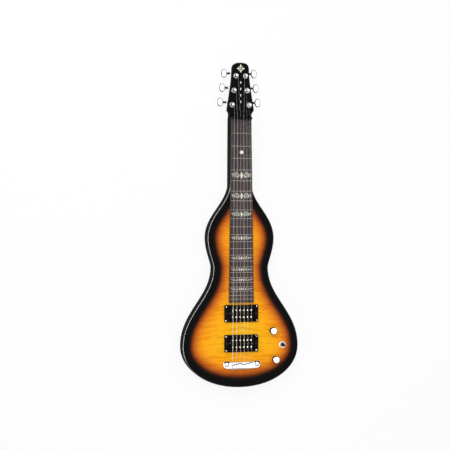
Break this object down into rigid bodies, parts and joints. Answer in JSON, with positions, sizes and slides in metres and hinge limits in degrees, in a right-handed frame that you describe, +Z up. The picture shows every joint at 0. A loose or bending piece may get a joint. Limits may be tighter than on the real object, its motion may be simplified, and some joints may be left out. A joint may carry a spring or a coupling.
{
  "type": "lap steel guitar",
  "caption": "Electric lap steel guitar with a waisted flamed-maple body, square neck, twin-coil pickups, wrap-over bridge and geared tuners.",
  "frame": {"origin": "on the floor under the middle of the length and width, the guitar lying on its flat back", "axes": "+Y from the tail to the head, +X towards the thin strings and the knobs, +Z up out of the face"},
  "size_m": [0.315, 0.8632, 0.0641],
  "materials": {
    "black_lacquer": "gloss black lacquer",
    "burst_maple": "flamed maple, amber to black burst under gloss lacquer",
    "rosewood": "oiled, open grained",
    "black_bone": "polished",
    "chrome": "polished",
    "black_plastic": "satin",
    "nickel_steel": "nickel plated",
    "string_steel": "drawn and wound wire",
    "brass": "turned",
    "zinc": "zinc plated",
    "pearl": "polished shell"
  },
  "bodies": {
    "frame": {"body_core": "black_lacquer", "maple_top": "burst_maple", "neck": "black_lacquer", "fretboard": "rosewood", "nut": "black_bone", "bridge": "chrome", "bridge_stud_bass": "chrome", "bridge_stud_treble": "chrome", "tuner_bushing_1": "chrome", "tuner_bushing_2": "chrome", "tuner_bushing_3": "chrome", "tuner_bushing_4": "chrome", "tuner_bushing_5": "chrome", "tuner_bushing_6": "chrome", "tuner_housing_1": "chrome", "tuner_housing_2": "chrome", "tuner_housing_3": "chrome", "tuner_housing_4": "chrome", "tuner_housing_5": "chrome", "tuner_housing_6": "chrome", "string_1": "string_steel", "string_2": "string_steel", "string_3": "string_steel", "string_4": "string_steel", "string_5": "string_steel", "string_6": "string_steel", "neck_pickup_ring": "black_plastic", "bridge_pickup_ring": "black_plastic", "volume_potentiometer": "zinc", "tone_potentiometer": "zinc", "toggle_switch": "zinc", "toggle_nut": "chrome", "jack_cup": "chrome", "output_jack": "nickel_steel", "control_cavity_cover": "black_plastic"},
    "neck_pickup": {"neck_pickup_baseplate": "nickel_steel", "neck_pickup_screw_coil": "black_plastic", "neck_pickup_slug_coil": "black_plastic", "neck_pickup_magnet_and_poles": "nickel_steel"},
    "bridge_pickup": {"bridge_pickup_baseplate": "nickel_steel", "bridge_pickup_screw_coil": "black_plastic", "bridge_pickup_slug_coil": "black_plastic", "bridge_pickup_magnet_and_poles": "nickel_steel"},
    "post_1": {"tuner_post_1": "chrome"},
    "post_2": {"tuner_post_2": "chrome"},
    "post_3": {"tuner_post_3": "chrome"},
    "post_4": {"tuner_post_4": "chrome"},
    "post_5": {"tuner_post_5": "chrome"},
    "post_6": {"tuner_post_6": "chrome"},
    "button_1": {"tuner_button_1": "chrome"},
    "button_2": {"tuner_button_2": "chrome"},
    "button_3": {"tuner_button_3": "chrome"},
    "button_4": {"tuner_button_4": "chrome"},
    "button_5": {"tuner_button_5": "chrome"},
    "button_6": {"tuner_button_6": "chrome"},
    "volume_control": {"volume_knob": "chrome", "volume_shaft": "brass"},
    "tone_control": {"tone_knob": "chrome", "tone_shaft": "brass"},
    "switch_lever": {"toggle_lever": "black_plastic"}
  },
  "joints": [
    {"name": "neck_pickup_height", "type": "slide", "parent": "frame", "child": "neck_pickup", "axis": [0, 0, 1], "range_m": [-0.003, 0.0015]},
    {"name": "bridge_pickup_height", "type": "slide", "parent": "frame", "child": "bridge_pickup", "axis": [0, 0, 1], "range_m": [-0.003, 0.0015]},
    {"name": "button_1_turn", "type": "hinge", "parent": "frame", "child": "button_1", "pos_m": [0.0509, 0.3279, 0.0204], "axis": [1, 0, 0], "continuous": true},
    {"name": "button_2_turn", "type": "hinge", "parent": "frame", "child": "button_2", "pos_m": [0.04575, 0.3665, 0.0204], "axis": [1, 0, 0], "continuous": true},
    {"name": "button_3_turn", "type": "hinge", "parent": "frame", "child": "button_3", "pos_m": [0.0406, 0.4051, 0.0204], "axis": [1, 0, 0], "continuous": true},
    {"name": "button_4_turn", "type": "hinge", "parent": "frame", "child": "button_4", "pos_m": [-0.0406, 0.4051, 0.0204], "axis": [-1, 0, 0], "continuous": true},
    {"name": "button_5_turn", "type": "hinge", "parent": "frame", "child": "button_5", "pos_m": [-0.04575, 0.3665, 0.0204], "axis": [-1, 0, 0], "continuous": true},
    {"name": "button_6_turn", "type": "hinge", "parent": "frame", "child": "button_6", "pos_m": [-0.0509, 0.3279, 0.0204], "axis": [-1, 0, 0], "continuous": true},
    {"name": "post_1_turn", "type": "hinge", "parent": "frame", "child": "post_1", "pos_m": [0.0231, 0.3191, 0.0204], "axis": [0, 0, 1], "continuous": true},
    {"name": "post_2_turn", "type": "hinge", "parent": "frame", "child": "post_2", "pos_m": [0.01795, 0.3577, 0.0204], "axis": [0, 0, 1], "continuous": true},
    {"name": "post_3_turn", "type": "hinge", "parent": "frame", "child": "post_3", "pos_m": [0.0128, 0.3963, 0.0204], "axis": [0, 0, 1], "continuous": true},
    {"name": "post_4_turn", "type": "hinge", "parent": "frame", "child": "post_4", "pos_m": [-0.0128, 0.3963, 0.0204], "axis": [0, 0, 1], "continuous": true},
    {"name": "post_5_turn", "type": "hinge", "parent": "frame", "child": "post_5", "pos_m": [-0.01795, 0.3577, 0.0204], "axis": [0, 0, 1], "continuous": true},
    {"name": "post_6_turn", "type": "hinge", "parent": "frame", "child": "post_6", "pos_m": [-0.0231, 0.3191, 0.0204], "axis": [0, 0, 1], "continuous": true},
    {"name": "volume_turn", "type": "hinge", "parent": "frame", "child": "volume_control", "pos_m": [0.0876, -0.2826, 0.0445], "axis": [0, 0, 1], "range_deg": [-150, 150]},
    {"name": "tone_turn", "type": "hinge", "parent": "frame", "child": "tone_control", "pos_m": [0.0947, -0.3596, 0.0445], "axis": [0, 0, 1], "range_deg": [-150, 150]},
    {"name": "switch_throw", "type": "hinge", "parent": "frame", "child": "switch_lever", "pos_m": [0.1138, -0.3204, 0.0391], "axis": [1, 0, 0], "range_deg": [-13, 13]}
  ],
  "couplings": [
    {"joint": "post_1_turn", "follows": "button_1_turn", "ratio": 0.071429},
    {"joint": "post_2_turn", "follows": "button_2_turn", "ratio": 0.071429},
    {"joint": "post_3_turn", "follows": "button_3_turn", "ratio": 0.071429},
    {"joint": "post_4_turn", "follows": "button_4_turn", "ratio": 0.071429},
    {"joint": "post_5_turn", "follows": "button_5_turn", "ratio": 0.071429},
    {"joint": "post_6_turn", "follows": "button_6_turn", "ratio": 0.071429}
  ]
}
